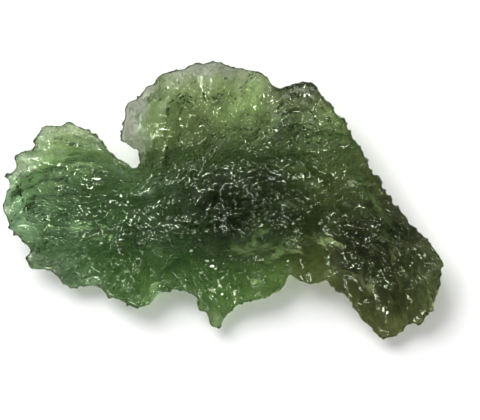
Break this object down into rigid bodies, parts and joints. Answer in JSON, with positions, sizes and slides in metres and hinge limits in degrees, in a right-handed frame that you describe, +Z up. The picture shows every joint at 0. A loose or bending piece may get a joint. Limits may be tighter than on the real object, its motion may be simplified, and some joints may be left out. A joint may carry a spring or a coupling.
{
  "type": "moldavite",
  "caption": "Natural moldavite: a flat, winged stone of clear green tektite glass with grooved and pitted faces and ragged thin rims, lying on a small flat spot.",
  "frame": {"origin": "on the surface that the stone lies on, under the middle of its box", "axes": "+X along the length, towards the pointed tail; +Y across the width, towards the round thin lobe; +Z up, through the thickness"},
  "size_m": [0.037, 0.0232, 0.0081],
  "materials": {
    "moldavite_glass": "glossy natural glass, clear olive to bottle green, etched with fine grooves and pits"
  },
  "bodies": {
    "root": {"moldavite": "moldavite_glass"}
  },
  "joints": []
}
